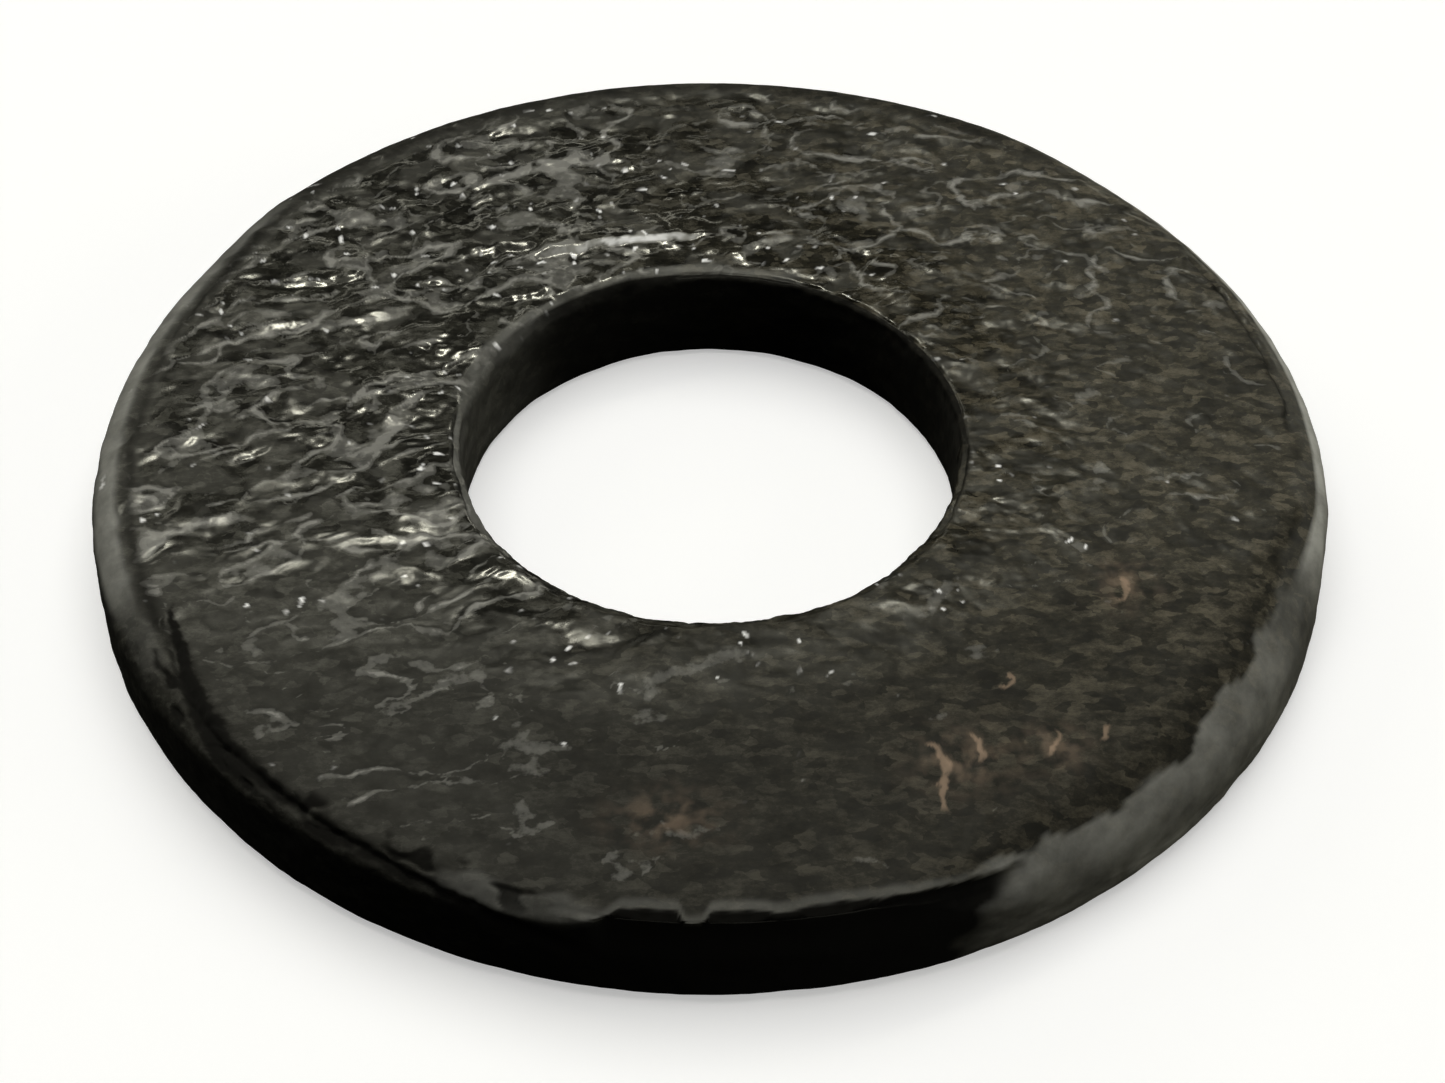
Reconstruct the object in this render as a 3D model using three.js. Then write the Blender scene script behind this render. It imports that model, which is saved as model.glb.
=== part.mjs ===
// A flat washer for a half-inch bolt: one round steel blank, punched out of sheet and finished in a
// thick black coating. Lengths are in millimetres, +Z is up, and the origin is the centre of the hole
// on the underside, so the washer lies on the plane z = 0.
//
// The punch came down on the top face. It rolled the top outer edge over into a wide soft shoulder,
// and left the other three edges tighter.

import * as THREE from 'three';

const BLANK_OUTER_DIAMETER = 34.925;
const BLANK_HOLE_DIAMETER = 14.275;
const BLANK_THICKNESS = 3.0;
const COATING_THICKNESS = 0.1;

const TOP_OUTER_ROUND = 1.05;
const BOTTOM_OUTER_ROUND = 0.5;
const TOP_HOLE_ROUND = 0.35;
const BOTTOM_HOLE_ROUND = 0.25;

const STEPS_AROUND = 96;
const STEPS_IN_WIDE_ROUND = 5;
const STEPS_IN_NARROW_ROUND = 3;

const OUTER_RADIUS = BLANK_OUTER_DIAMETER / 2 + COATING_THICKNESS;
const HOLE_RADIUS = BLANK_HOLE_DIAMETER / 2 - COATING_THICKNESS;
const THICKNESS = BLANK_THICKNESS + 2 * COATING_THICKNESS;

const blackCoating = new THREE.MeshStandardMaterial({
  name: 'black_coating',
  color: 0x2b2a28,
  roughness: 0.3,
  metalness: 0.0,
});

// The points of a quarter circle about (radius, height), turning anticlockwise from startAngle.
function roundedEdge(radius, height, round, startAngle, steps) {
  const points = [];
  for (let step = 0; step <= steps; step += 1) {
    const angle = startAngle + (Math.PI / 2) * (step / steps);
    points.push(new THREE.Vector2(radius + round * Math.cos(angle), height + round * Math.sin(angle)));
  }
  return points;
}

// The washer's section, as radius against height. It runs anticlockwise from the underside's outer
// edge, up the outer wall, in across the top face, down the hole wall, and closes on its first point.
function washerSection() {
  const section = [
    ...roundedEdge(
      OUTER_RADIUS - BOTTOM_OUTER_ROUND,
      BOTTOM_OUTER_ROUND,
      BOTTOM_OUTER_ROUND,
      -Math.PI / 2,
      STEPS_IN_NARROW_ROUND,
    ),
    ...roundedEdge(
      OUTER_RADIUS - TOP_OUTER_ROUND,
      THICKNESS - TOP_OUTER_ROUND,
      TOP_OUTER_ROUND,
      0,
      STEPS_IN_WIDE_ROUND,
    ),
    ...roundedEdge(
      HOLE_RADIUS + TOP_HOLE_ROUND,
      THICKNESS - TOP_HOLE_ROUND,
      TOP_HOLE_ROUND,
      Math.PI / 2,
      STEPS_IN_NARROW_ROUND,
    ),
    ...roundedEdge(
      HOLE_RADIUS + BOTTOM_HOLE_ROUND,
      BOTTOM_HOLE_ROUND,
      BOTTOM_HOLE_ROUND,
      Math.PI,
      STEPS_IN_NARROW_ROUND,
    ),
  ];
  section.push(section[0].clone());
  return section;
}

// The section is turned about three.js's own vertical axis, Y, and then stood up so that Y becomes Z.
function flatWasher() {
  const geometry = new THREE.LatheGeometry(washerSection(), STEPS_AROUND);
  const washer = new THREE.Mesh(geometry, blackCoating);
  washer.name = 'flat_washer';
  washer.rotation.x = Math.PI / 2;
  return washer;
}

const part = new THREE.Group();
part.add(flatWasher());

export default part;
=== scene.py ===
import math

import bpy
import numpy as np
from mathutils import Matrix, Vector


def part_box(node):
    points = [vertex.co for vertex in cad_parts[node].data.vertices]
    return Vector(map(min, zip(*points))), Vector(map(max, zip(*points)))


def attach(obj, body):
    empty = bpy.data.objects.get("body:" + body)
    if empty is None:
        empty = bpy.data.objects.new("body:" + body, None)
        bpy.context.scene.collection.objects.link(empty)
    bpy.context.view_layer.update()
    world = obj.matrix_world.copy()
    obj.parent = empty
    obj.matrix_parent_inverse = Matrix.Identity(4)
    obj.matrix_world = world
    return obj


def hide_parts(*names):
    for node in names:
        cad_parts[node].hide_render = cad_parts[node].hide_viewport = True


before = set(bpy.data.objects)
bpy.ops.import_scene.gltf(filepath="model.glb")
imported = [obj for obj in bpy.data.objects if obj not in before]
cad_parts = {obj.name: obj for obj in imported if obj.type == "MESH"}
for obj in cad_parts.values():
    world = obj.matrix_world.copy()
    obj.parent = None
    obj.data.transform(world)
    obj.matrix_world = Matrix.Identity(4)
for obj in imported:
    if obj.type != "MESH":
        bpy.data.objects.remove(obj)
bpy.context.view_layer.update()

# The looks of a plain flat washer: one punched steel ring under a thick glossy black coating that has
# dried in wrinkles. Shapes are worked out in millimetres and scaled to the frame's metres at the end.
# Directions round the ring are in degrees, anticlockwise from +X seen from above: 90 is the back, 180
# the left and -90 the front. The whole number in a call of noise is its seed, and the numbers that divide
# its places are the sizes of its features.

MM = 0.001
NODE = "flat_washer"

# ---------------------------------------------------------------- sizes, from the frame

LOW_CORNER, HIGH_CORNER = (np.array(corner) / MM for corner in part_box(NODE))
OUTER_RADIUS = (HIGH_CORNER[0] - LOW_CORNER[0]) / 2
THICKNESS = HIGH_CORNER[2] - LOW_CORNER[2]


def hole_radius():
    """The CAD ring's smallest radius, in millimetres."""
    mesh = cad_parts[NODE].data
    places = np.empty(len(mesh.vertices) * 3)
    mesh.vertices.foreach_get("co", places)
    places = places.reshape(-1, 3) / MM
    return float(np.hypot(places[:, 0], places[:, 1]).min())


HOLE_RADIUS = hole_radius()
BOTTOM_OUTER_ROUND = 0.5
TOP_HOLE_ROUND = 0.35
BOTTOM_HOLE_ROUND = 0.25

STEPS_AROUND = 1440
LOW_EDGE_STEPS = 7
OUTER_WALL_STEPS = 16
TOP_EDGE_STEPS = 22
TOP_STEPS = 125
TOP_HOLE_EDGE_STEPS = 7
HOLE_WALL_STEPS = 20
LOW_HOLE_EDGE_STEPS = 4
UNDERSIDE_STEPS = 70

# ---------------------------------------------------------------- noise

# Large odd numbers that scramble a lattice point and a seed, and the bits that are kept of the result.
COLUMN_FACTOR = 374761393
ROW_FACTOR = 668265263
SEED_FACTOR = 974634777
STIRRING_FACTOR = 1274126177
KEPT_BITS = 0xFFFFFFFF
RESULT_BITS = 0xFFFFFF

# What brings a single noise, and a sum of layers, to about -1 to 1.
NOISE_GAIN = 1.45
LAYERS_SUM = 1.5


def hashed(column, row, seed):
    """A repeatable number from 0 to 1 for each point of a whole-number lattice."""
    mixed = column.astype(np.int64) * COLUMN_FACTOR + row.astype(np.int64) * ROW_FACTOR
    mixed = (mixed + seed * SEED_FACTOR) & KEPT_BITS
    mixed = ((mixed ^ (mixed >> 13)) * STIRRING_FACTOR) & KEPT_BITS
    return ((mixed ^ (mixed >> 16)) & RESULT_BITS) / RESULT_BITS


def noise(u, v, seed):
    """Smooth noise of about -1 to 1, with hills and hollows about one lattice step across."""
    column, row = np.floor(u), np.floor(v)
    across, up = u - column, v - row

    def corner(right, above):
        turn = 2 * np.pi * hashed(column + right, row + above, seed)
        return np.cos(turn) * (across - right) + np.sin(turn) * (up - above)

    ease_across = across**3 * (across * (across * 6 - 15) + 10)
    ease_up = up**3 * (up * (up * 6 - 15) + 10)
    low = corner(0, 0) + ease_across * (corner(1, 0) - corner(0, 0))
    high = corner(0, 1) + ease_across * (corner(1, 1) - corner(0, 1))
    return NOISE_GAIN * (low + ease_up * (high - low))


def layered_noise(u, v, seed, layers=3):
    """Noise with finer, weaker noise added to it."""
    total = np.zeros_like(u)
    for layer in range(layers):
        total += noise(u * 2**layer, v * 2**layer, seed + layer) / 2**layer
    return total / LAYERS_SUM


# The step over which the noise's slope is measured, the height of noise at which a leaf shape ends, and
# the least slope, which keeps outlines narrow where the noise is flat.
PROBE = 0.04
SHORE = 0.16
LEAST_SLOPE = 0.12


def outlines(along, across, size, seed, reach):
    """1 along the outlines of closed leaf shapes, falling steadily to 0 at reach beside them and on below
    it. size is the distance between shapes along and across them. All lengths are in millimetres."""

    def level(right, up):
        return noise((along + right) / size[0], (across + up) / size[1], seed)

    middle = level(0, 0) - SHORE + 0.12 * layered_noise(along / 0.46, across / 0.32, seed + 5, 3)
    rise_along = level(PROBE, 0) - level(-PROBE, 0)
    rise_across = level(0, PROBE) - level(0, -PROBE)
    slope = np.hypot(rise_along, rise_across) / (2 * PROBE)
    return 1 - np.abs(middle) / (slope + LEAST_SLOPE / size[1]) / reach


# ---------------------------------------------------------------- smooth windows


def smooth_step(value, start, end):
    """0 up to start, 1 from end on, and a smooth rise between them. It falls if end is below start."""
    share = np.clip((value - start) / (end - start), 0, 1)
    return share * share * (3 - 2 * share)


def turned(angle, centre):
    """How far an angle in degrees is from a centre, from -180 to 180."""
    return (angle - centre + 180) % 360 - 180


def around(angle, centre, reach, soft):
    """1 within reach degrees of a centre direction, fading to 0 over soft degrees more."""
    return smooth_step(np.abs(turned(angle, centre)), reach + soft, reach)


def spot(x, y, centre, radii):
    """1 at a point and close to 0 outside an ellipse about it."""
    return np.exp(-(((x - centre[0]) / radii[0]) ** 2) - ((y - centre[1]) / radii[1]) ** 2)


def beside(x, y, start, end, bend):
    """How far along a curve from start to end each point is, from 0 to 1, and how far to the left of it.
    bend is how far the middle of the curve bows left."""
    run = np.array(end, dtype=float) - np.array(start)
    length = np.hypot(*run)
    ahead = ((x - start[0]) * run[0] + (y - start[1]) * run[1]) / length**2
    aside = ((y - start[1]) * run[0] - (x - start[0]) * run[1]) / length
    return ahead, aside - 4 * bend * ahead * (1 - ahead)


# ---------------------------------------------------------------- the ring's section


def arc(radius, height, size, start, steps):
    """A quarter circle of the section, turning anticlockwise: its rows of places and outward ways."""
    turn = math.radians(start) + math.pi / 2 * np.arange(steps)[:, None] / steps
    turn = turn + np.zeros(STEPS_AROUND)
    return radius + size * np.cos(turn), height + size * np.sin(turn), np.cos(turn), np.sin(turn)


def straight(begin, end, way, steps):
    """A straight stretch of the section, up to but not including its end."""
    share = np.arange(steps)[:, None] / steps + np.zeros(STEPS_AROUND)
    radius = begin[0] + share * (end[0] - begin[0])
    height = begin[1] + share * (end[1] - begin[1])
    return radius, height, np.full_like(share, way[0]), np.full_like(share, way[1])


def top_outer_round(angle):
    """The size of the top outer edge's round. It is wide at the lower right, wider than usual at the left
    and right, and sharp in front, above the broken lip."""
    size = 0.8 + 0.4 * around(angle, 182, 28, 14)
    size = size + 1.4 * around(angle, -42, 20, 16)
    size = size + 0.4 * around(angle, 12, 28, 20)
    return size - 0.5 * around(angle, -81, 17, 6)


def top_hole_round(angle):
    """The size of the hole's top edge round, which is widest at the back left and in front."""
    return TOP_HOLE_ROUND * (1 + 0.9 * around(angle, 135, 25, 20) + 0.5 * around(angle, -90, 55, 25))


def ring_section(angle):
    """The ring's section, once round, as rows of radius, height and the outward way in both. It has a
    column for each direction round the ring."""
    outer, hole, top = OUTER_RADIUS, HOLE_RADIUS, THICKNESS
    edge, hole_edge = top_outer_round(angle), top_hole_round(angle)
    low_edge, low_hole_edge = BOTTOM_OUTER_ROUND, BOTTOM_HOLE_ROUND
    stretches = [
        arc(outer - low_edge, low_edge, low_edge, -90, LOW_EDGE_STEPS),
        straight((outer, low_edge), (outer, top - edge), (1, 0), OUTER_WALL_STEPS),
        arc(outer - edge, top - edge, edge, 0, TOP_EDGE_STEPS),
        straight((outer - edge, top), (hole + hole_edge, top), (0, 1), TOP_STEPS),
        arc(hole + hole_edge, top - hole_edge, hole_edge, 90, TOP_HOLE_EDGE_STEPS),
        straight((hole, top - hole_edge), (hole, low_hole_edge), (-1, 0), HOLE_WALL_STEPS),
        arc(hole + low_hole_edge, low_hole_edge, low_hole_edge, 180, LOW_HOLE_EDGE_STEPS),
        straight((hole + low_hole_edge, 0), (outer - low_edge, 0), (0, -1), UNDERSIDE_STEPS),
    ]
    return [np.concatenate([stretch[i] for stretch in stretches]) for i in range(4)]


# ---------------------------------------------------------------- relief, in millimetres


FLOW_SEED = 61


def flow(x, y, wander=1.0):
    """Places on the top as (along, across) the wrinkles, in millimetres, bent so that none is straight.

    The wrinkles run mostly along X and arch over the ring: they rise to the right on the left side, and
    fall gently on the right side.
    """
    drift_x = x + wander * 0.9 * layered_noise(x / 2.6, y / 1.9, FLOW_SEED)
    drift_y = y + wander * 0.75 * layered_noise(x / 1.7, y / 1.6, FLOW_SEED + 10)
    return drift_x, drift_y - 0.12 * drift_x + 0.010 * drift_x**2


def regions(x, y):
    """How far a place belongs to the left, right, back and front of the ring, each from 0 to 1."""
    return smooth_step(-x, -2, 8), smooth_step(x, 1, 9), smooth_step(y, 1, 9), smooth_step(-y, 3, 11)


# The centre and reach of each rough, glossy place.
SPARKLES = [
    ((-8.5, 1.0), 0.9),
    ((-8.0, 3.8), 0.9),
    ((-5.6, 5.6), 0.6),
    ((-4.2, 12.8), 0.6),
    ((-1.0, 11.2), 0.6),
]
# The centre and reach of each cluster of painted glints: near-white dots that stand in for the lights'
# glints.
GLINT_CLUSTERS = [
    ((4.0, 10.7), 0.55),
    ((9.7, 11.5), 0.45),
    ((6.2, -6.5), 0.45),
    ((10.3, -4.2), 0.45),
    ((0.2, -9.0), 0.60),
    ((0.6, -10.4), 0.35),
    ((2.6, -7.8), 0.40),
    ((-3.8, -8.6), 0.50),
    ((-5.2, -10.8), 0.40),
    ((-9.6, -11.2), 0.35),
    ((-0.2, -12.9), 0.30),
    ((2.5, -12.9), 0.30),
    ((3.9, -11.9), 0.35),
    ((-2.3, -14.3), 0.30),
    ((7.9, -1.2), 0.45),
    ((-6.9, 1.9), 0.50),
    ((-1.2, 12.4), 0.50),
]


def sparkle(x, y):
    """1 at the few rough, glossy places, fading to 0 round them."""
    return np.clip(sum(spot(x, y, place, (reach, reach)) for place, reach in SPARKLES), 0, 1)


# The start, end and bend of each bold ledge, then the width of its face, its height and the strength of
# the highlight painted along it.
LEDGES = [
    ((-5.4, 8.0), (0.1, 9.1), 0.18, 0.17, 0.11, 1.0),
    ((0.9, 8.2), (2.6, 9.0), 0.10, 0.35, 0.08, 0.7),
    ((-9.4, -0.6), (-8.2, 1.9), 0.20, 0.35, 0.08, 0.7),
    ((-15.9, -4.9), (-12.6, -3.4), 0.45, 0.30, 0.02, 0.8),
    ((-13.6, 4.9), (-8.9, 5.6), -0.45, 0.40, 0.05, 0.6),
    ((-10.8, -4.2), (-6.6, -3.6), -0.30, 0.30, 0.03, 0.6),
    ((-1.9, -9.9), (1.3, -8.4), 0.25, 0.35, 0.08, 0.5),
    ((5.7, -7.2), (6.6, -5.8), 0.10, 0.35, 0.07, 0.6),
    ((-7.5, 11.2), (-2.5, 12.8), 0.50, 0.30, 0.05, 0.8),
]


def ledges(x, y):
    """The boldest single wrinkles: their relief in millimetres, and a painted highlight along each steep
    face, from 0 to 1, that stands in for the light the face catches. Each has its face towards the front,
    and falls away slowly behind."""
    height, painted_highlight = np.zeros_like(x), np.zeros_like(x)
    waver = 0.20 * layered_noise(x / 0.9, y / 0.7, 181, 3)
    for start, end, bend, width, high, highlight_strength in LEDGES:
        ahead, aside = beside(x, y, start, end, bend)
        ends = smooth_step(ahead, -0.15, 0.2) * smooth_step(ahead, 1.15, 0.8)
        face = np.clip((aside + waver) / width + 0.5, 0, 1)
        height += high * ends * face * smooth_step(aside, 1.8, 0.2)
        painted_highlight += highlight_strength * ends * np.exp(-(((aside + waver) / (0.7 * width)) ** 2))
    return height, painted_highlight * smooth_step(layered_noise(x / 0.8, y / 0.4, 185), -1.0, -0.1)


# The heights of the top's swells, ripples, small bumps and grain, of the bumps of a sparkling place, and
# of a wrinkle. The top's middle level lies below the CAD face, to leave room for them.
SWELL_HEIGHT = 0.110
RIPPLE_HEIGHT = 0.050
SMALL_HEIGHT = 0.015
FINE_HEIGHT = 0.0060
SPARKLE_HEIGHT = 0.045
WRINKLE_HEIGHT = 0.012
MIDDLE_DEPTH = 0.15


def top_relief(x, y):
    """How far each point of the top face lies below the CAD face. The swells are lowest at the right, in
    front and near the outer edge, and the grain is coarsest at the right and back."""
    along, across = flow(x, y)
    left, right, back, front = regions(x, y)
    outer = smooth_step(np.hypot(x, y), 9.5, 13.0)
    swell = 0.95 + 0.05 * back - 0.30 * right - 0.45 * front - 0.30 * outer
    ripple = 0.75 + 0.2 * left + 0.4 * back + 0.05 * right - 0.3 * front
    small = 0.6 + 0.6 * back + 0.5 * left + 1.0 * right + 0.3 * front
    fine = 0.3 + 1.0 * back + 0.5 * left + 1.6 * right + 0.3 * front
    height = SWELL_HEIGHT * swell * noise(along / 2.3, across / 1.6, 101)
    height += RIPPLE_HEIGHT * ripple * noise(along / 1.0, across / 0.82, 111)
    height += SMALL_HEIGHT * small * noise(x / 0.44, across / 0.44, 121)
    height += FINE_HEIGHT * fine * layered_noise(x / 0.27, y / 0.25, 141, 2)
    height += SPARKLE_HEIGHT * sparkle(x, y) * noise(x / 0.38, y / 0.32, 161)
    height += WRINKLE_HEIGHT * smooth_step(wrinkles(x, y), 0.0, 0.8) + ledges(x, y)[0]
    calm = 1 - 0.8 * smooth_step(np.hypot(x, y), 0.955 * OUTER_RADIUS, 0.985 * OUTER_RADIUS)
    return MIDDLE_DEPTH - calm * height


# The distances between leaf shapes, along and across them, for the bold outlines and the fine ones, and
# how much they wander, as a share of what the swells do.
BOLD_LEAVES = (3.0, 1.5)
FINE_LEAVES = (1.7, 0.80)
BOLD_SEED = 221
CALM_WANDER = 0.55


def wrinkles(x, y):
    """Narrow ridges of dried coating round smooth leaf-shaped pools: 1 on a ridge's line, falling to 0
    beside it and on below it."""
    along, across = flow(x, y, CALM_WANDER)
    left, right, back, front = regions(x, y)
    reach = 0.21 + 0.16 * noise(x / 1.0, y / 0.8, 227)
    level = -0.78 + np.maximum(0.62 * left, 0.46 * back) + 0.12 * right - 0.40 * front
    bold = outlines(along, across, BOLD_LEAVES, BOLD_SEED, reach)
    bold += np.minimum(level + 0.9 * layered_noise(x / 2.0, y / 1.5, 225), 0)
    fine = outlines(along, across, FINE_LEAVES, 231, 0.70 * reach)
    fine += np.minimum(level - 0.35 + 1.1 * layered_noise(x / 1.5, y / 1.2, 235), 0)
    return np.clip(np.maximum(bold, fine), -0.5, 1)


def pale(x, y):
    """How pale the coating is, as painted highlight and sheen: over 0.8 on the ridges, where pale colour
    stands in for the lights' reflections along them, and up to about 0.6 on broad places inside the leaf
    shapes, where it stands in for soft sheen and the shading of the relief. It is 0 close to the outer
    edge."""
    along, across = flow(x, y, CALM_WANDER)
    left, right, _, front = regions(x, y)
    leaves = noise(along / BOLD_LEAVES[0], across / BOLD_LEAVES[1], BOLD_SEED)
    inside = smooth_step(leaves - SHORE, -0.02, 0.03)
    patches = layered_noise(x / 1.3, y / 1.0, 241) + 0.25 * left - 0.15 * right - 0.05 * front
    broad = (0.64 - 0.20 * front) * inside * smooth_step(patches, 0.05, 0.55)
    inner = smooth_step(np.hypot(x, y), OUTER_RADIUS - 0.8, OUTER_RADIUS - 1.4)
    return np.clip(np.maximum(wrinkles(x, y), broad) + ledges(x, y)[1], 0, 1) * inner


# The start, end, bend and width of each crack, and the centre and two radii of each stain.
CRACKS = [
    ((5.6, -11.6), (6.0, -12.6), 0.10, 0.11),
    ((6.0, -12.6), (5.9, -13.8), -0.12, 0.09),
    ((6.7, -11.3), (6.9, -12.2), 0.14, 0.09),
    ((7.9, -9.2), (7.6, -9.7), 0.10, 0.07),
    ((8.9, -11.2), (8.6, -12.0), 0.10, 0.07),
    ((10.2, -11.0), (10.1, -11.5), 0.06, 0.06),
    ((11.2, -5.7), (11.0, -6.5), 0.10, 0.06),
]
STAINS = [
    ((6.4, -12.2), (1.1, 1.0)),
    ((8.8, -11.7), (0.8, 0.7)),
    ((-1.1, -14.1), (1.2, 0.8)),
    ((11.2, -5.9), (0.8, 0.9)),
]
CRACK_SHARE = 0.60
STAIN_SHARE = 0.32


def rust(x, y):
    """How much brown primer shows: 0 on whole coating, most along the few thin cracks, and about half as
    much on the broken stains round them."""
    waver = 0.17 * layered_noise(x / 0.45, y / 0.35, 501, 3)
    line = np.zeros_like(x)
    for start, end, bend, width in CRACKS:
        ahead, aside = beside(x, y, start, end, bend)
        ends = smooth_step(ahead, -0.1, 0.1) * smooth_step(ahead, 1.1, 0.9)
        line = np.maximum(line, ends * smooth_step(np.abs(aside + waver), 1.3 * width, 0.5 * width))
    stained = sum(spot(x, y, place, radii) for place, radii in STAINS)
    broken = smooth_step(layered_noise(x / 0.5, y / 0.5, 505), -0.3, 0.5)
    return np.clip(CRACK_SHARE * line + STAIN_SHARE * stained * broken, 0, 1)


def below_edge(radius, height):
    """How far a point is over the outer edge, in millimetres: negative on the top face, where it is the
    distance in from the edge, and positive on the wall, where it is the distance down."""
    return (radius - OUTER_RADIUS) + (THICKNESS - height)


def lip(angle):
    """Where the top face breaks off above the front wall, by how far it is over the outer edge."""
    place = turned(angle, -80)
    broken = 0.06 * noise(angle / 1.6, np.zeros_like(angle), 421)
    teeth = 0.45 * around(angle, -91.3, 0.5, 1.0) + 0.12 * around(angle, -84, 0.4, 1.6)
    ends = 0.6 * smooth_step(place, -17.0, -19.5) + 0.45 * smooth_step(place, 0, 16)
    return -0.47 + broken + teeth + ends


def rim_relief(angle, over):
    """The depths, in millimetres, of the marks along the outer edge: the crease of the left band, the
    gouge, the ragged front crease, the dark jag at the right, the pits and the broken front wall."""
    wander = 0.12 * layered_noise(angle / 4, np.zeros_like(angle), 401)
    band_crease = around(angle, 180, 28, 12) * np.exp(-(((over + 0.98 - wander) / 0.27) ** 2))
    jagged = wander + 0.12 * layered_noise(angle / 1.2, np.zeros_like(angle), 405, 2)
    gouge_place = -1.2 + 0.075 * turned(angle, -151)
    gouge_width = 0.20 + 0.015 * turned(angle, -146)
    gouge = around(angle, -144, 4, 9) * np.exp(-(((over - gouge_place - jagged) / gouge_width) ** 2))
    crease_place = -0.35 + 0.0012 * turned(angle, -139) ** 2
    front_crease = around(angle, -121, 14, 10) * np.exp(-(((over - crease_place - jagged) / 0.22) ** 2))
    jag = around(angle, 15, 11, 5) * np.exp(-(((over + 0.80 - 2 * wander) / 0.13) ** 2))
    chips_and_glints = around(angle, -81, 17, 2) * smooth_step(over - lip(angle), 0.0, 0.10)
    chips_and_glints *= smooth_step(over, 1.6, 0.6)
    pits = around(angle, -128, 20, 8) * smooth_step(noise(angle / 2.8, over / 0.6, 417), 0.15, 0.40)
    pits *= smooth_step(over, -1.0, -0.6) * smooth_step(over, 0.7, 0.2)
    return 0.05 * band_crease, 0.15 * gouge, 0.16 * front_crease, 0.10 * jag, 0.08 * pits, 0.22 * chips_and_glints


def painted_shade(angle, over):
    """Painted shade: 0 on clean coating, 1 in the creases, gouges, pits and the jag at the right, under
    the broken front lip, and less on the front wall and the far top edge. These places are coloured near
    black for the shade that falls there, and hold no gloss.
    """
    band_crease, gouge, front_crease, jag, pits, _ = rim_relief(angle, over)
    broken = 0.35 + 0.65 * smooth_step(noise(angle / 2.5, over / 0.5, 415), -0.35, 0.15)
    marks = 12.0 * band_crease + 30.0 * gouge + 10.0 * front_crease * broken
    marks += 9.0 * jag + 11.0 * pits
    # Painted shadow under the broken front lip, and painted shade on the front wall and along the far top
    # edge.
    ragged_end = turned(angle, 0) + 2.2 * over + 2.0 * noise(angle / 4, over / 0.7, 411)
    under_lip = around(ragged_end, -83, 16, 5) * smooth_step(over - lip(angle), 0.02, 0.12)
    wall = around(angle, -118, 40, 22) * smooth_step(over, 0.4, 1.0)
    far_edge = around(angle, 105, 42, 16) * smooth_step(over, -1.5, -0.6)
    return np.clip(marks + under_lip + 0.65 * wall + 0.5 * far_edge, 0, 1)


def hole_rim_painted_shade(angle, radius):
    """Painted shade: 0 on the face, 1 along the ragged dark line at the left and front of the hole's top
    edge, which is coloured near black for the shade there.
    """
    ragged_edge = HOLE_RADIUS + 0.18 * layered_noise(angle / 4, np.zeros_like(angle), 431)
    return around(angle, -95, 85, 25) * smooth_step(radius, ragged_edge + 0.42, ragged_edge + 0.26)


def wear_and_highlight(x, y, angle, over):
    """0 on dark coating, and more where it is coloured pale: along the left and right edges, on the front
    lip, over the wide shoulder at the lower right, and on the ridges round the back of the hole. It is
    partly wear and partly painted highlight: the pale bands and lines on the edges, the shoulder, the
    hole's far edge and the far ridge stand in for light that they catch."""
    ragged = 0.60 * layered_noise(x / 1.6, y / 1.3, 451, 2)
    left_band = around(angle, 171, 25, 9) * smooth_step(over, -0.75, -0.4)
    left_band *= smooth_step(over, 1.1, 0.4)
    bright_end = around(angle, -155, 4, 4) * smooth_step(over + 0.4 * ragged, -0.75, -0.5)
    bright_end *= smooth_step(over, 0.6, 0.1)
    shoulder_edge = -0.35 - 0.35 * around(angle, -26, 10, 8) + 0.25 * around(angle, -45, 2, 5)
    shoulder = around(angle, -45, 15, 14) * smooth_step(over + ragged - shoulder_edge, 0.0, 0.18)
    low_wall = around(angle, -38, 12, 12) * smooth_step(over, 0.8, 2.6)
    patch = around(angle, -106, 5, 4) * smooth_step(over + ragged, -0.5, -0.2)
    patch *= smooth_step(over, 0.7, 0.3)
    right_edge = around(angle, -3, 14, 12) * smooth_step(over + ragged, -0.9, -0.5)
    right_line = around(angle, 17, 26, 14) * smooth_step(over, -0.12, 0.1)
    lip_line = around(angle, -82, 17, 6) * smooth_step(over - lip(angle), -0.35, -0.10)
    from_hole = np.hypot(x, y) + 0.3 * ragged - HOLE_RADIUS
    hole_lip = around(angle, 118, 38, 16) * smooth_step(from_hole, 0.75, 0.50)
    # The far ridge behind the hole is coloured pale as a painted highlight.
    ridge_top = smooth_step(ledges(x, y)[1] + 0.5 * ragged, 0.50, 0.90)
    far_ridge = ridge_top * spot(x, y, (-2.6, 8.7), (2.2, 0.9))
    edges = 0.45 * left_band + 0.08 * bright_end + 0.05 * right_edge + 0.85 * right_line
    front = 0.36 * shoulder + 0.10 * low_wall + 0.12 * patch + 0.12 * lip_line
    hole = 0.70 * far_ridge + 0.20 * hole_lip
    return np.clip(edges + front + hole, 0, 1)


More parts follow.
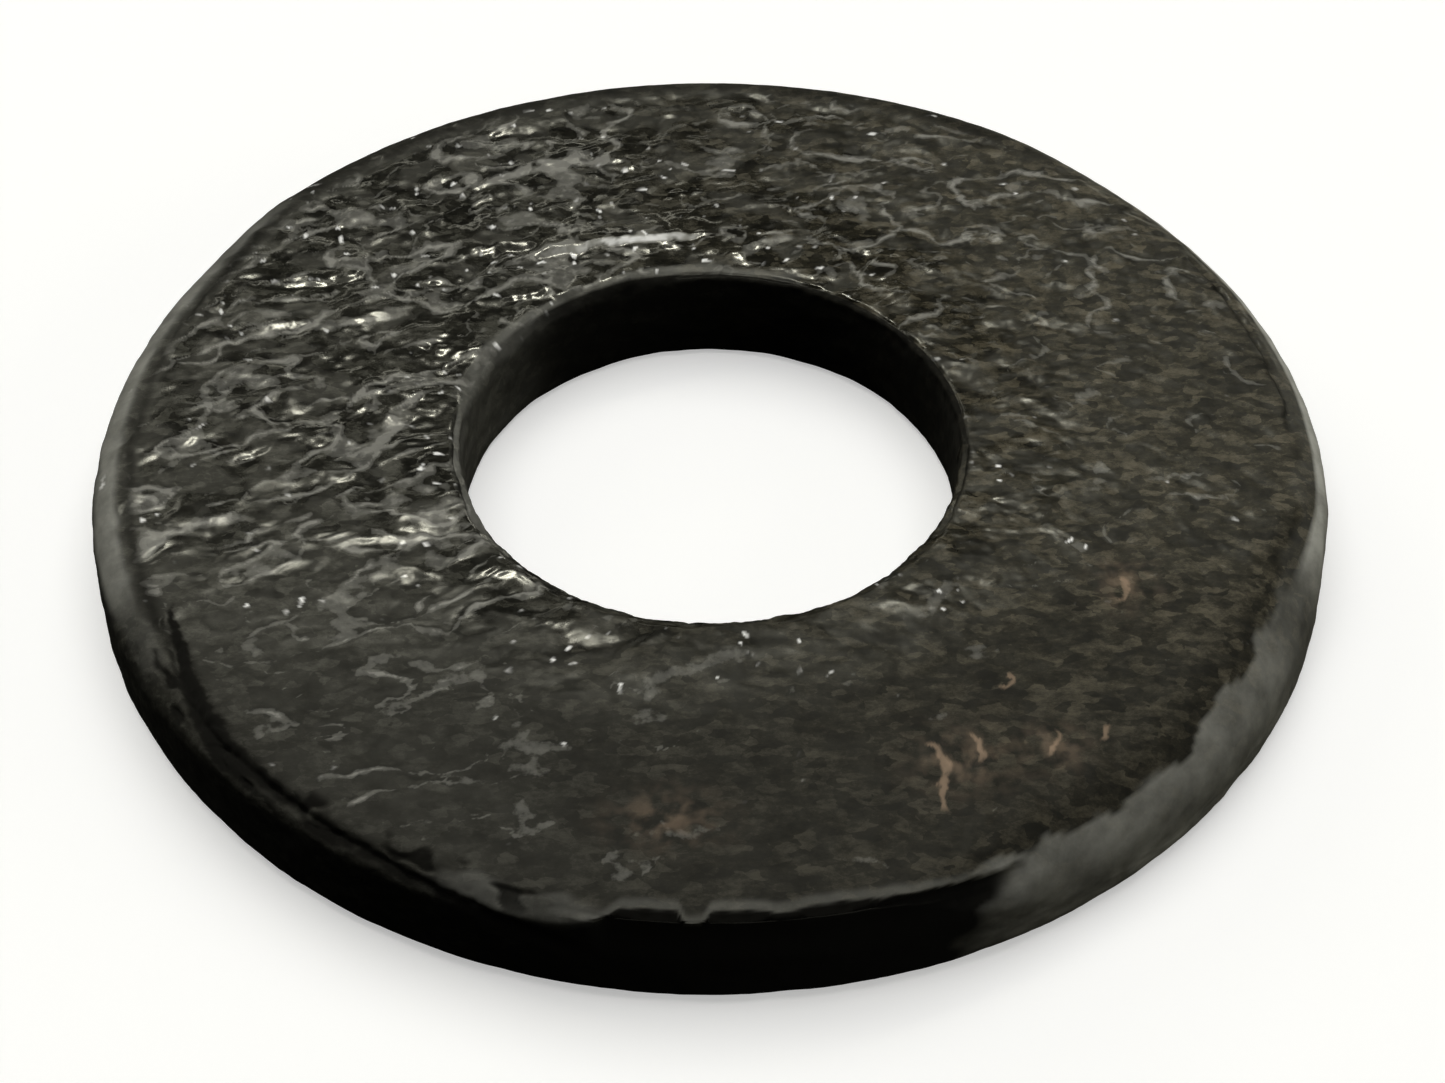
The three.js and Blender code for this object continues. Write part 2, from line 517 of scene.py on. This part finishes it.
def painted_glints(x, y):
    """Painted glints: 0 on most of the coating, and 1 on tiny near-white dots that stand in for the
    lights' glints. They lie in clusters, most of them near the hole and at the back, and in a broken line
    along the far ridge."""
    left, right, back, front = regions(x, y)
    near_hole = smooth_step(np.hypot(x, y), 11.0, 8.5)
    chosen = sum(spot(x, y, place, (reach, reach)) for place, reach in GLINT_CLUSTERS)
    level = 0.20 * near_hole + 0.16 * back + 0.10 * left - 0.12 * right - 0.15 * front + 1.2 * chosen
    clusters = smooth_step(layered_noise(x / 1.5, y / 1.2, 605) + level, 0.30, 0.60)
    ridge = spot(x, y, (-2.4, 8.75), (2.0, 0.6)) * smooth_step(ledges(x, y)[1], 0.60, 0.90)
    chips_and_glints = smooth_step(noise(x / 0.36, y / 0.32, 601), 0.54, 0.68) * clusters
    ragged_ridge = ridge * smooth_step(noise(x / 0.45, y / 0.40, 611), -0.45, -0.05)
    return np.clip(np.maximum(chips_and_glints, ragged_ridge), 0, 1)


def gloss(x, y):
    """How smooth the coating is, from 0 to 1: wet-looking at the left and round the hole, and duller at
    the right and in front."""
    left, right, back, front = regions(x, y)
    radius = np.hypot(x, y)
    near_hole = smooth_step(radius, 12.0, 9.0)
    level = 0.60 + 0.25 * left + 0.20 * back + 0.45 * near_hole - 0.35 * right - 0.70 * front
    level -= 0.35 * spot(x, y, (-8.5, -4.8), (3.5, 2.6))
    patches = smooth_step(layered_noise(x / 1.7, y / 1.2, 551), -0.9, 0.3)
    whole = smooth_step(radius, OUTER_RADIUS - 0.6, OUTER_RADIUS - 1.2)
    return np.clip(level * patches + 0.7 * sparkle(x, y), 0, 1) * whole


def haze(x, y):
    """How much soft sheen lies over the coating, from 0 to 1. The front has least."""
    left, right, _, front = regions(x, y)
    patches = 0.12 * layered_noise(x / 2.1, y / 1.7, 571)
    near_hole = smooth_step(np.hypot(x, y), 12.0, 9.0)
    level = 0.17 + 0.09 * left + 0.12 * near_hole - 0.05 * right - 0.34 * front
    return np.clip(level + 0.8 * patches, 0, 1)


def wall_relief(along, height, seed):
    """How far a wall lies inside its highest level. along is the distance round the wall."""
    streaks = layered_noise(along / 1.6, height / 0.8, seed)
    grain = layered_noise(along / 0.4, height / 0.4, seed + 9)
    return 0.05 - 0.05 * streaks - 0.012 * grain


def relief(x, y, radius, height, way, angle):
    """How far each point moves in from the plain ring: the top, walls and underside, blended."""
    top_share = smooth_step(way[1], 0.25, 0.9)
    under_share = smooth_step(-way[1], 0.25, 0.9)
    outer_share = (1 - top_share - under_share) * (way[0] > 0)
    hole_share = (1 - top_share - under_share) * (way[0] <= 0)
    along = np.radians(angle) * radius
    depth = top_share * top_relief(x, y)
    depth += sum(rim_relief(angle, below_edge(radius, height)))
    depth += outer_share * wall_relief(along, height, 301)
    depth += hole_share * wall_relief(along, height, 331)
    depth += under_share * (0.05 - 0.06 * layered_noise(x / 2.4, y / 2.0, 351))
    hole_edge = smooth_step(-way[0], 0.05, 0.5) * smooth_step(height, THICKNESS - 1.0, THICKNESS - 0.4)
    depth += hole_edge * (0.05 + 0.07 * layered_noise(along / 0.7, height / 0.5, 341))
    return np.maximum(depth, 0)


# ---------------------------------------------------------------- the mesh


def washer_points():
    """The points of the ring and the value of each mark at them: one row per step round the section, and
    one column per step round the ring."""
    direction = np.arange(STEPS_AROUND) * 360 / STEPS_AROUND
    radius, height, way_out, way_up = ring_section(direction)
    angle = direction + np.zeros_like(radius)
    cosine, sine = np.cos(np.radians(angle)), np.sin(np.radians(angle))
    depth = relief(radius * cosine, radius * sine, radius, height, (way_out, way_up), angle)
    radius = radius - depth * way_out
    height = height - depth * way_up
    x, y = radius * cosine, radius * sine
    over = below_edge(radius, height)
    on_hole_wall = (way_out < -0.5) * (way_up > -0.5)
    outside_painted_shade = painted_shade(angle, over) + hole_rim_painted_shade(angle, radius)
    # The far part of the hole wall is coloured near black as painted shade.
    hole_wall_painted_shade = 0.9 * around(angle, 68, 58, 34)
    outside_wear_and_highlight = wear_and_highlight(x, y, angle, over)
    hole_wall_pale_grey = 0.16 * around(angle, 172, 30, 22)
    above_floor = smooth_step(height, 0.0, 0.3)
    on_top = smooth_step(way_up, 0.3, 0.9)
    # The near-black marks are painted shade, the pale edges and ridges partly wear and partly painted
    # highlight, the pale wrinkle lines and patches painted highlight and sheen, and the white dots
    # painted glints.
    marks = {
        "painted_shade": np.where(on_hole_wall, hole_wall_painted_shade, outside_painted_shade),
        "rust": rust(x, y) * (way_up > 0.5),
        "wear_and_highlight": np.where(on_hole_wall, hole_wall_pale_grey, outside_wear_and_highlight) * above_floor,
        "gloss": gloss(x, y) * smooth_step(way_up, 0.0, 0.5),
        "haze": haze(x, y),
        "pale": pale(x, y) * on_top,
        "painted_glint": painted_glints(x, y) * on_top,
    }
    return np.stack([x, y, height], 2), marks


def ring_faces(rows, columns):
    """Four-cornered faces that join a grid of points which closes on itself both ways."""
    row, column = np.meshgrid(np.arange(rows), np.arange(columns), indexing="ij")
    next_row, next_column = (row + 1) % rows, (column + 1) % columns
    corners = [
        row * columns + column,
        row * columns + next_column,
        next_row * columns + next_column,
        next_row * columns + column,
    ]
    return np.stack(corners, 2).reshape(-1, 4)


def make_washer():
    """The washer as one closed mesh, with a named value at each point for each kind of mark."""
    points, marks = washer_points()
    faces = ring_faces(*points.shape[:2])
    mesh = bpy.data.meshes.new("coated_washer")
    mesh.vertices.add(points.shape[0] * points.shape[1])
    mesh.vertices.foreach_set("co", (points * MM).astype(np.float32).ravel())
    mesh.loops.add(faces.size)
    mesh.loops.foreach_set("vertex_index", faces.astype(np.int32).ravel())
    mesh.polygons.add(len(faces))
    mesh.polygons.foreach_set("loop_start", np.arange(0, faces.size, 4, dtype=np.int32))
    mesh.polygons.foreach_set("use_smooth", np.ones(len(faces), dtype=bool))
    mesh.update(calc_edges=True)
    mesh.validate()
    for name, values in marks.items():
        layer = mesh.attributes.new(name, "FLOAT", "POINT")
        layer.data.foreach_set("value", values.astype(np.float32).ravel())
    washer = bpy.data.objects.new("coated_washer", mesh)
    bpy.context.collection.objects.link(washer)
    return washer


# ---------------------------------------------------------------- materials


def set_inputs(node, **values):
    """Sets a node's inputs by name, with _ for each space."""
    for name, value in values.items():
        node.inputs[name.replace("_", " ")].default_value = value


def node_noise(nodes, links, place, scale, detail, roughness=0.55):
    """A noise texture whose features are about 1 / scale metres across."""
    texture = nodes.new("ShaderNodeTexNoise")
    set_inputs(texture, Scale=scale, Detail=detail, Roughness=roughness)
    links.new(place, texture.inputs["Vector"])
    return texture.outputs["Fac"]


def node_cells(nodes, links, place, scale, wander_scale, wander):
    """A flat random value in each of many ragged cells, about 1 / scale metres across."""
    shifted = nodes.new("ShaderNodeVectorMath")
    shifted.operation = "MULTIPLY_ADD"
    texture = nodes.new("ShaderNodeTexNoise")
    set_inputs(texture, Scale=wander_scale, Detail=2.0)
    links.new(place, texture.inputs["Vector"])
    links.new(texture.outputs["Color"], shifted.inputs[0])
    shifted.inputs[1].default_value = (wander, wander, wander)
    links.new(place, shifted.inputs[2])
    voronoi = nodes.new("ShaderNodeTexVoronoi")
    set_inputs(voronoi, Scale=scale)
    links.new(shifted.outputs["Vector"], voronoi.inputs["Vector"])
    split = nodes.new("ShaderNodeSeparateColor")
    links.new(voronoi.outputs["Color"], split.inputs["Color"])
    return split.outputs["Red"]


def node_ramp(nodes, links, source, stops):
    """Colours by a value: stops are (value, (red, green, blue))."""
    ramp = nodes.new("ShaderNodeValToRGB")
    elements = ramp.color_ramp.elements
    while len(elements) < len(stops):
        elements.new(0.5)
    for element, (position, colour) in zip(elements, stops):
        element.position = position
        element.color = (*colour, 1)
    links.new(source, ramp.inputs["Fac"])
    return ramp.outputs["Color"]


def node_mix(nodes, links, share, first, second):
    """A blend of two colours. Each may be a socket or a colour."""
    mix = nodes.new("ShaderNodeMix")
    mix.data_type = "RGBA"
    links.new(share, mix.inputs["Factor"])
    for slot, value in (("A", first), ("B", second)):
        if isinstance(value, tuple):
            mix.inputs[slot].default_value = (*value, 1)
        else:
            links.new(value, mix.inputs[slot])
    return mix.outputs["Result"]


def node_attribute(nodes, name):
    """One of the mesh's named values."""
    mark = nodes.new("ShaderNodeAttribute")
    mark.attribute_name = name
    return mark.outputs["Fac"]


def node_maths(nodes, links, operation, first, second):
    """A sum, product or other operation on two values. Each may be a socket or a number."""
    maths = nodes.new("ShaderNodeMath")
    maths.operation = operation
    for slot, value in enumerate((first, second)):
        if isinstance(value, (int, float)):
            maths.inputs[slot].default_value = value
        else:
            links.new(value, maths.inputs[slot])
    return maths.outputs[0]


def node_range(nodes, links, value, low, high, new_low=0.0, new_high=1.0):
    """A value moved from one range to another."""
    node = nodes.new("ShaderNodeMapRange")
    set_inputs(node, From_Min=low, From_Max=high, To_Min=new_low, To_Max=new_high)
    links.new(value, node.inputs["Value"])
    return node.outputs["Result"]


# The coating's colours from its dark grain to its pale grain, at the left and at the right.
CHARCOAL = [
    (0.40, (0.003, 0.0029, 0.0021)),
    (0.51, (0.014, 0.0136, 0.0103)),
    (0.65, (0.064, 0.063, 0.052)),
]
OLIVE = [
    (0.40, (0.003, 0.0027, 0.0016)),
    (0.51, (0.020, 0.0177, 0.0107)),
    (0.65, (0.094, 0.082, 0.056)),
]
# Pale grey for the painted highlights and sheen on the ridges, and for the wear and painted highlights on
# the edges; near white for the painted glints; tan for primer in the cracks; near black for painted
# shade.
RIDGE_HIGHLIGHT_GREY = (0.42, 0.415, 0.38)
EDGE_WEAR_AND_HIGHLIGHT_GREY = (0.42, 0.42, 0.385)
PAINTED_GLINT_WHITE = (0.95, 0.95, 0.94)
TAN_PRIMER = (0.29, 0.205, 0.140)
PAINTED_SHADE_BLACK = (0.0012, 0.0011, 0.0010)

# The share of the painted ridge highlight grey at each value of the pale mark.
PALENESS = [(0.28, 0.0), (0.42, 0.13), (0.64, 0.21), (0.80, 0.45)]


def whole_coating_colour(nodes, links, place):
    """Unmarked coating: a ragged grain, charcoal at the left and olive at the right, and darkened towards
    the front as painted shade.
    """
    stretch = nodes.new("ShaderNodeMapping")
    stretch.inputs["Scale"].default_value = (0.6, 1.0, 1.0)
    links.new(place, stretch.inputs["Vector"])
    patches = stretch.outputs["Vector"]
    noise_grain = node_noise(nodes, links, patches, 1700.0, 9.0, 0.86)
    cell_grain = node_cells(nodes, links, patches, 3600.0, 3600.0, 0.00030)
    noise_share = node_maths(nodes, links, "MULTIPLY", noise_grain, 0.84)
    cell_share = node_maths(nodes, links, "MULTIPLY", cell_grain, 0.16)
    blotches = node_maths(nodes, links, "ADD", noise_share, cell_share)
    charcoal = node_ramp(nodes, links, blotches, CHARCOAL)
    olive = node_ramp(nodes, links, blotches, OLIVE)
    split = nodes.new("ShaderNodeSeparateXYZ")
    links.new(place, split.inputs[0])
    side = node_range(nodes, links, split.outputs["X"], -0.006, 0.008)
    # Painted shade: the colour is darkened towards the front.
    shade = node_range(nodes, links, split.outputs["Y"], -0.014, -0.003, 0.45, 1.0)
    return node_mix(nodes, links, shade, (0, 0, 0), node_mix(nodes, links, side, charcoal, olive))


def marked_colour(nodes, links, place, marks):
    """The coating's colour with its painted ridge highlights and sheen, its wear and painted edge
    highlights, its painted glints, its cracks and its painted shade laid over it.
    """
    colour = whole_coating_colour(nodes, links, place)
    frayed_noise = node_noise(nodes, links, place, 3600.0, 3.0)
    frayed = node_range(nodes, links, frayed_noise, 0.3, 0.7, -0.17, 0.17)
    pale_mark = node_maths(nodes, links, "ADD", marks["pale"], frayed)
    greys = [(stop, (share, share, share)) for stop, share in PALENESS]
    layers = [
        (node_ramp(nodes, links, pale_mark, greys), RIDGE_HIGHLIGHT_GREY),
        (marks["wear_and_highlight"], EDGE_WEAR_AND_HIGHLIGHT_GREY),
        (marks["painted_glint"], PAINTED_GLINT_WHITE),
        (marks["rust"], TAN_PRIMER),
        (marks["painted_shade"], PAINTED_SHADE_BLACK),
    ]
    for share, layer_colour in layers:
        colour = node_mix(nodes, links, share, colour, layer_colour)
    return colour


def whole_share(nodes, links, marks):
    """1 on whole coating, and 0 where painted shade, primer, wear or painted highlight takes its place.
    """
    wear_and_highlight_share = node_maths(nodes, links, "MULTIPLY", marks["wear_and_highlight"], 5.0)
    rust_wear_and_highlight = node_maths(nodes, links, "MAXIMUM", marks["rust"], wear_and_highlight_share)
    covered = node_maths(nodes, links, "MAXIMUM", marks["painted_shade"], rust_wear_and_highlight)
    return node_maths(nodes, links, "SUBTRACT", 1.0, node_maths(nodes, links, "MINIMUM", covered, 1.0))


def coating_roughness(nodes, links, place, marks, whole):
    """Smooth on whole glossy coating, dull where other colour covers it, and dullest in the painted
    shade.
    """
    dull_noise = node_noise(nodes, links, place, 1400.0, 4.0)
    dullness = node_range(nodes, links, dull_noise, 0.3, 0.7, -0.05, 0.05)
    smoothness = node_maths(nodes, links, "MULTIPLY", whole, marks["gloss"])
    roughness = node_range(nodes, links, smoothness, 0.0, 1.0, 0.70, 0.10)
    shaded_roughness = node_maths(nodes, links, "MULTIPLY", marks["painted_shade"], 0.4)
    roughness = node_maths(nodes, links, "ADD", roughness, shaded_roughness)
    return node_maths(nodes, links, "ADD", roughness, dullness)


def grain_bump(nodes, links, place):
    """The coating's finest grain, as a bump."""
    bump = nodes.new("ShaderNodeBump")
    set_inputs(bump, Strength=0.3, Distance=0.00002)
    links.new(node_noise(nodes, links, place, 5000.0, 3.0), bump.inputs["Height"])
    return bump.outputs["Normal"]


def black_coating():
    """The washer's one material. It reads the mesh's marks, and mottles the one for wear and painted
    highlight.
    """
    material = bpy.data.materials.new("black_coating")
    material.use_nodes = True
    nodes, links = material.node_tree.nodes, material.node_tree.links
    shader = nodes["Principled BSDF"]
    place = nodes.new("ShaderNodeTexCoord").outputs["Object"]
    names = ("painted_shade", "rust", "wear_and_highlight", "gloss", "haze", "pale", "painted_glint")
    marks = {name: node_attribute(nodes, name) for name in names}
    mottle_noise = node_noise(nodes, links, place, 700.0, 5.0, 0.65)
    mottle = node_range(nodes, links, mottle_noise, 0.35, 0.65, 0.65, 1.30)
    marks["wear_and_highlight"] = node_maths(nodes, links, "MULTIPLY", marks["wear_and_highlight"], mottle)
    whole = whole_share(nodes, links, marks)
    coat = node_maths(nodes, links, "MULTIPLY", whole, marks["haze"])
    links.new(marked_colour(nodes, links, place, marks), shader.inputs["Base Color"])
    links.new(coating_roughness(nodes, links, place, marks, whole), shader.inputs["Roughness"])
    links.new(coat, shader.inputs["Coat Weight"])
    links.new(grain_bump(nodes, links, place), shader.inputs["Normal"])
    set_inputs(shader, Coat_Roughness=0.26, IOR=1.5, Specular_IOR_Level=0.36)
    return material


def floor_material():
    """Plain pale grey that glows a little, so that it stays pale in the washer's soft light."""
    material = bpy.data.materials.new("pale_floor")
    material.use_nodes = True
    shader = material.node_tree.nodes["Principled BSDF"]
    set_inputs(shader, Base_Color=(0.7, 0.7, 0.7, 1), Roughness=0.9, Specular_IOR_Level=0.0)
    set_inputs(shader, Emission_Color=(1, 1, 1, 1), Emission_Strength=0.43)
    return material


# ---------------------------------------------------------------- floor, light and camera


# The floor's measures, in metres. It lies a hair below the washer.
FLOOR_CENTRE_RADIUS = 0.000001
FLOOR_FLAT = 1.2
FLOOR_BEND = 0.6
FLOOR_WALL_TOP = 1.6
FLOOR_GAP = 0.00002
FLOOR_BEND_STEPS = 12
FLOOR_COLUMNS = 96


def make_floor():
    """A round pale floor that curves up into a wall. The camera sees it, with the washer's shadow on it,
    but it isn't in reflections, so the black coating mirrors the lights and not the floor."""
    turn = np.linspace(0, math.pi / 2, FLOOR_BEND_STEPS + 1)
    section = [(FLOOR_CENTRE_RADIUS, 0.0)]
    for t in turn:
        section.append((FLOOR_FLAT + FLOOR_BEND * math.sin(t), FLOOR_BEND - FLOOR_BEND * math.cos(t)))
    section.append((FLOOR_FLAT + FLOOR_BEND, FLOOR_WALL_TOP))
    around_ring = 2 * np.pi * np.arange(FLOOR_COLUMNS) / FLOOR_COLUMNS
    points = [(r * math.cos(t), r * math.sin(t), z) for r, z in section for t in around_ring]
    faces = []
    for row in range(len(section) - 1):
        for column in range(FLOOR_COLUMNS):
            inner, outer = row * FLOOR_COLUMNS, (row + 1) * FLOOR_COLUMNS
            following = (column + 1) % FLOOR_COLUMNS
            faces.append((inner + column, outer + column, outer + following, inner + following))
    mesh = bpy.data.meshes.new("floor")
    mesh.from_pydata(points, [], faces)
    mesh.polygons.foreach_set("use_smooth", [True] * len(faces))
    mesh.materials.append(floor_material())
    floor = bpy.data.objects.new("floor", mesh)
    bpy.context.collection.objects.link(floor)
    floor.location.z = -FLOOR_GAP
    floor.visible_glossy = False
    floor.visible_diffuse = False
    floor.visible_shadow = False


def aim(thing, place, target):
    """Puts a light or camera at a place, looking at a target."""
    thing.location = place
    thing.rotation_euler = (Vector(target) - Vector(place)).to_track_quat("-Z", "Y").to_euler()


WARM_WHITE = (1.0, 0.975, 0.80)


def make_light(name, azimuth, elevation, distance, size, radiance):
    """A soft rectangular light that faces the washer. azimuth 90 is behind it, and 180 is to its left."""
    data = bpy.data.lights.new(name, "AREA")
    data.shape = "RECTANGLE"
    data.size, data.size_y = size
    data.energy = radiance * math.pi * size[0] * size[1]
    data.color = WARM_WHITE
    light = bpy.data.objects.new(name, data)
    bpy.context.collection.objects.link(light)
    turn, lift = math.radians(azimuth), math.radians(elevation)
    way = np.array([math.cos(lift) * math.cos(turn), math.cos(lift) * math.sin(turn), math.sin(lift)])
    aim(light, tuple(distance * way), (0, 0, 0))
    return light


# How bright the world is by height, from straight down at 0 to straight up at 1.
WORLD_LEVELS = [
    (0.0, 0.0),
    (0.50, 0.0),
    (0.52, 0.07),
    (0.57, 0.07),
    (0.68, 0.03),
    (0.88, 0.03),
    (0.93, 0.14),
    (1.0, 0.4),
]


def make_world():
    """A plain dim studio: dark below the floor, dimmest half way up and brightest overhead."""
    world = bpy.data.worlds.new("studio")
    bpy.context.scene.world = world
    world.use_nodes = True
    nodes, links = world.node_tree.nodes, world.node_tree.links
    place = nodes.new("ShaderNodeTexCoord")
    split = nodes.new("ShaderNodeSeparateXYZ")
    links.new(place.outputs["Generated"], split.inputs[0])
    height = node_range(nodes, links, split.outputs["Z"], -1.0, 1.0)
    stops = [(stop, tuple(level * share for share in WARM_WHITE)) for stop, level in WORLD_LEVELS]
    colour = node_ramp(nodes, links, height, stops)
    links.new(colour, nodes["Background"].inputs["Color"])


# The camera that a fit to the washer's outline in the photograph gives. Its distance is in outer radii.
SENSOR_WIDTH = 36.0
FOCAL_LENGTH = 72.1
SHIFT_ACROSS = 0.0084
SHIFT_UP = -0.0200
CAMERA_ELEVATION = 44.15
CAMERA_DISTANCE = 4.81


def make_camera():
    """The photograph's view, from the front and above."""
    data = bpy.data.cameras.new("camera")
    data.sensor_width = SENSOR_WIDTH
    data.lens = FOCAL_LENGTH
    data.shift_x = SHIFT_ACROSS
    data.shift_y = SHIFT_UP
    data.clip_start = 0.002
    data.clip_end = 20.0
    camera = bpy.data.objects.new("camera", data)
    bpy.context.collection.objects.link(camera)
    lift = math.radians(CAMERA_ELEVATION)
    distance = CAMERA_DISTANCE * OUTER_RADIUS * MM
    aim(camera, (0, -distance * math.cos(lift), distance * math.sin(lift)), (0, 0, 0))
    bpy.context.scene.camera = camera


make_camera()
make_floor()
make_world()
fill = make_light("fill", 90, 76, 0.9, (1.0, 1.0), 2.0)
fill.visible_glossy = False
fill.data.color = (1, 1, 1)
make_light("strip", 112, 62, 0.5, (0.80, 0.035), 2.6)
make_light("strip_low", 112, 23, 0.5, (0.50, 0.03), 2.2)
make_light("strip_left", 156, 40, 0.5, (0.035, 0.34), 2.4)
make_light("left_back", 138, 30, 0.5, (0.30, 0.16), 1.4)
make_light("sparkle", 104, 69, 0.5, (0.12, 0.06), 40.0).visible_diffuse = False
make_light("right", -15, 20, 0.5, (0.36, 0.20), 1.5)
make_light("right_low", 60, 4, 0.5, (0.25, 0.08), 4.0).visible_diffuse = False

washer = make_washer()
washer.data.materials.append(black_coating())
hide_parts(NODE)
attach(washer, "root")

bpy.context.scene.view_settings.view_transform = "Standard"
